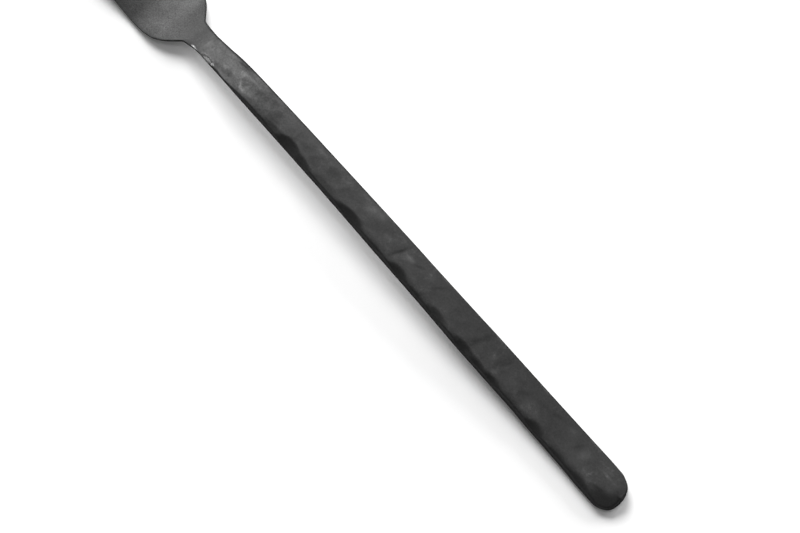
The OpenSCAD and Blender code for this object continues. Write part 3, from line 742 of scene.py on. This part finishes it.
# Colours of the black and of the bare metal under it, which also paints the glints, and their tint at
# grazing angles
DARK, BARE, TINT = (0.0445, 0.0445, 0.0445), (0.45, 0.45, 0.45, 1), (0.3, 0.3, 0.3, 1)
# Share of the black that mirrors as metal does, its roughness, and how much smoother bare metal is
METAL, ROUGHNESS, BARE_SMOOTHER = 0.5, 0.42, 0.12
# Size in millimetres of the breaks in the worn and glinting places, and tone of the painted light and shade
# beside its flecks
WEAR_AND_GLINT_BREAKUP, LIGHT_AND_SHADE_TONE = 0.4, 1.3


def black_steel(name, groups, grain, speckle, flecks, patches):
    """Blackened steel: drifting tone, grain, flecks, wear with painted glints, painted light and shade.

    Grain is the size and depth of the grains in mm, patches the size in mm and the contrast of the drift,
    and speckle and flecks say how strongly each of them shows.
    """
    material = bpy.data.materials.new(name)
    material.use_nodes = True
    tree = material.node_tree
    shader = tree.nodes["Principled BSDF"]
    grains = placed_group(tree, groups["grain"], Grain_size_mm=grain[0])
    drift = placed_group(tree, groups["drift"], Patch_size_mm=patches[0], Contrast=patches[1])
    wear_and_glints = placed_group(tree, groups["glints_and_wear"], Breakup_mm=WEAR_AND_GLINT_BREAKUP)
    shown = maths(tree, "MULTIPLY", painted(tree, "grain"), speckle)
    lift = maths(tree, "ADD", maths(tree, "MULTIPLY", grains["Speckle"], shown),
                 maths(tree, "MULTIPLY", grains["Flecks"], flecks))
    tone = maths(tree, "MULTIPLY", drift["Tone"], maths(tree, "ADD", lift, 1))
    # Painted shade: the tone darkens along the right edge
    tone = maths(tree, "MULTIPLY", tone, remap(tree, painted(tree, "painted_shade_rim"), 0, SHADE_RIM_FULL, 1, SHADE_RIM_TONE))
    # Painted light and shade: patches of the hammered faces are lifted or lowered in tone
    light_and_shade = maths(tree, "ADD", grains["Flecks"], LIGHT_AND_SHADE_TONE)
    light_and_shade = maths(tree, "MULTIPLY", painted(tree, "light_and_shade"), light_and_shade)
    tone = maths(tree, "MULTIPLY", tone, maths(tree, "ADD", light_and_shade, 1))
    shade = tree.nodes.new("ShaderNodeVectorMath")
    shade.operation = "SCALE"
    shade.inputs[0].default_value = DARK
    tree.links.new(tone, shade.inputs["Scale"])
    # Worn places, partly painted glints and highlights, turn to the bright bare metal
    mix = tree.nodes.new("ShaderNodeMix")
    mix.data_type = "RGBA"
    tree.links.new(wear_and_glints["Mask"], mix.inputs["Factor"])
    tree.links.new(shade.outputs[0], mix.inputs["A"])
    mix.inputs["B"].default_value = BARE
    tree.links.new(mix.outputs["Result"], shader.inputs["Base Color"])
    rough = maths(tree, "MULTIPLY", maths(tree, "SUBTRACT", 2, drift["Tone"]), ROUGHNESS)
    tree.links.new(maths(tree, "SUBTRACT", rough, maths(tree, "MULTIPLY", wear_and_glints["Mask"], BARE_SMOOTHER)),
                   shader.inputs["Roughness"])
    bump = tree.nodes.new("ShaderNodeBump")
    bump.inputs["Strength"].default_value = 1
    bump.inputs["Distance"].default_value = grain[1] * MM
    tree.links.new(grains["Height"], bump.inputs["Height"])
    tree.links.new(bump.outputs["Normal"], shader.inputs["Normal"])
    tree.links.new(remap(tree, wear_and_glints["Mask"], 0, 1, METAL, 1), shader.inputs["Metallic"])
    shader.inputs["Specular IOR Level"].default_value = 0
    shader.inputs["Specular Tint"].default_value = TINT
    return material


# The studio: a floor, four soft lamps, a dim room and the camera

# Half the floor's width in metres and its tone
FLOOR_HALF, FLOOR_TONE = 2, 0.85
# Distances in metres from the fork's middle where the floor's glow starts to grow and is full, and its least
GLOW_FROM, GLOW_FULL, GLOW_LEAST = 0.11, 0.3, 0.1


def make_floor():
    """Pale floor that shows white to the camera, keeps the fork's shadow, and is clear from below."""
    mesh = bpy.data.meshes.new("floor")
    corners = [(x * FLOOR_HALF, y * FLOOR_HALF, 0) for x, y in ((-1, -1), (1, -1), (1, 1), (-1, 1))]
    mesh.from_pydata(corners, [], [(0, 1, 2, 3)])
    material = bpy.data.materials.new("pale floor")
    material.use_nodes = True
    tree = material.node_tree
    tree.nodes.clear()
    out = tree.nodes.new("ShaderNodeOutputMaterial")
    paper = tree.nodes.new("ShaderNodeBsdfDiffuse")
    paper.inputs["Color"].default_value = (FLOOR_TONE, FLOOR_TONE, FLOOR_TONE, 1)
    glow = tree.nodes.new("ShaderNodeEmission")
    path = tree.nodes.new("ShaderNodeLightPath")
    seen = maths(tree, "MAXIMUM", path.outputs["Is Camera Ray"], path.outputs["Is Glossy Ray"])
    seen = maths(tree, "MAXIMUM", seen, path.outputs["Is Transmission Ray"])
    away = tree.nodes.new("ShaderNodeVectorMath")
    away.operation = "LENGTH"
    tree.links.new(tree.nodes.new("ShaderNodeTexCoord").outputs["Object"], away.inputs[0])
    level = remap(tree, away.outputs["Value"], GLOW_FROM, GLOW_FULL, GLOW_LEAST, 1)
    tree.links.new(maths(tree, "MULTIPLY", seen, level), glow.inputs["Strength"])
    both = tree.nodes.new("ShaderNodeAddShader")
    tree.links.new(paper.outputs[0], both.inputs[0])
    tree.links.new(glow.outputs[0], both.inputs[1])
    side = tree.nodes.new("ShaderNodeMixShader")
    tree.links.new(tree.nodes.new("ShaderNodeNewGeometry").outputs["Backfacing"], side.inputs[0])
    tree.links.new(both.outputs[0], side.inputs[1])
    tree.links.new(tree.nodes.new("ShaderNodeBsdfTransparent").outputs[0], side.inputs[2])
    tree.links.new(side.outputs[0], out.inputs["Surface"])
    mesh.materials.append(material)
    floor = bpy.data.objects.new("floor", mesh)
    bpy.context.scene.collection.objects.link(floor)


def toward(azimuth, elevation):
    """Unit vector towards an azimuth and elevation in degrees, with azimuth 0 along +X and 90 along +Y."""
    a, e = math.radians(azimuth), math.radians(elevation)
    return Vector((math.cos(a) * math.cos(e), math.sin(a) * math.cos(e), math.sin(e)))


# Soft lamps, as (name, azimuth and elevation in degrees, width and height in metres, brightness). Those at
# the right come in low and draw the shadow on the left, and the one overhead lifts the faces
LAMPS = [("lamp over the tines", -26, 48, 0.7, 0.6, 13.6), ("lamp at the right", -90, 22, 0.8, 0.6, 6.5),
         ("lamp beyond the right", -45, 22, 0.8, 0.6, 3.2), ("lamp overhead", 0, 90, 0.35, 0.35, 4.2)]
# Distance of each lamp from the fork's middle in metres, and brightness of the room
LAMP_DISTANCE, ROOM_LEVEL = 1.2, 0.02


def make_softbox(name, azimuth, elevation, wide, tall, level):
    """Soft lamp of an even brightness, level, turned to the middle of the fork."""
    light = bpy.data.lights.new(name, "AREA")
    light.shape = "RECTANGLE"
    light.size, light.size_y = wide, tall
    light.energy = level * math.pi * wide * tall
    lamp = bpy.data.objects.new(name, light)
    away = toward(azimuth, elevation)
    lamp.location = away * LAMP_DISTANCE
    lamp.rotation_euler = away.to_track_quat("Z", "Y").to_euler()
    bpy.context.scene.collection.objects.link(lamp)


def make_room():
    """Dim even light from the room all round, which the camera itself sees as white past the floor."""
    world = bpy.data.worlds.new("room")
    world.use_nodes = True
    tree = world.node_tree
    backdrop = tree.nodes["Background"]
    backdrop.inputs["Color"].default_value = (1, 1, 1, 1)
    seen = tree.nodes.new("ShaderNodeLightPath").outputs["Is Camera Ray"]
    tree.links.new(remap(tree, seen, 0, 1, ROOM_LEVEL, 1), backdrop.inputs["Strength"])
    bpy.context.scene.world = world


# The camera: the place that it looks at in millimetres, its azimuth and elevation in degrees, its distance
# in metres, its focal length and the picture's width in pixels, the width of its film in millimetres, and
# the nearest and farthest distance that it shows in metres
LOOKS_AT, CAMERA_AZIMUTH, CAMERA_ELEVATION, CAMERA_DISTANCE = (-32.43, 1.38, 4.0), 138.80, 74, 1
FOCAL_PIXELS, PICTURE_PIXELS, FILM_W, NEAREST, FARTHEST = 4487.6, 800, 36, 0.01, 20


def make_camera():
    """Camera at the photograph's angle, nearly straight above and a little towards the handle's left."""
    target = Vector(LOOKS_AT) * MM
    away = toward(CAMERA_AZIMUTH, CAMERA_ELEVATION)
    right = Vector((-away.y, away.x, 0)).normalized()
    up = away.cross(right)
    camera = bpy.data.cameras.new("camera")
    camera.sensor_fit = "HORIZONTAL"
    camera.sensor_width = FILM_W
    camera.lens = FOCAL_PIXELS / PICTURE_PIXELS * FILM_W
    camera.clip_start, camera.clip_end = NEAREST, FARTHEST
    seat = bpy.data.objects.new("camera", camera)
    turn = Matrix((right, up, away)).transposed().to_4x4()
    seat.matrix_world = Matrix.Translation(target + away * CAMERA_DISTANCE) @ turn
    bpy.context.scene.collection.objects.link(seat)
    bpy.context.scene.camera = seat


make_camera()
groups = {"grain": blast_grain(), "drift": tone_drift(), "glints_and_wear": wear_and_glints_group()}
make_handle(black_steel("forged black steel", groups, grain=(0.8, 0.015), speckle=0.1, flecks=0.3,
                        patches=(2.5, 0.06)))
make_weld(black_steel("ground weld", groups, grain=(0.7, 0.01), speckle=0.1, flecks=0.4,
                      patches=(2.5, 0.1)))
make_head(black_steel("blasted black steel", groups, grain=(0.5, 0.015), speckle=0.3, flecks=0.2,
                      patches=(3.0, 0.06)))
make_floor()
make_room()
for lamp in LAMPS:
    make_softbox(*lamp)
bpy.context.scene.view_settings.view_transform = "Standard"
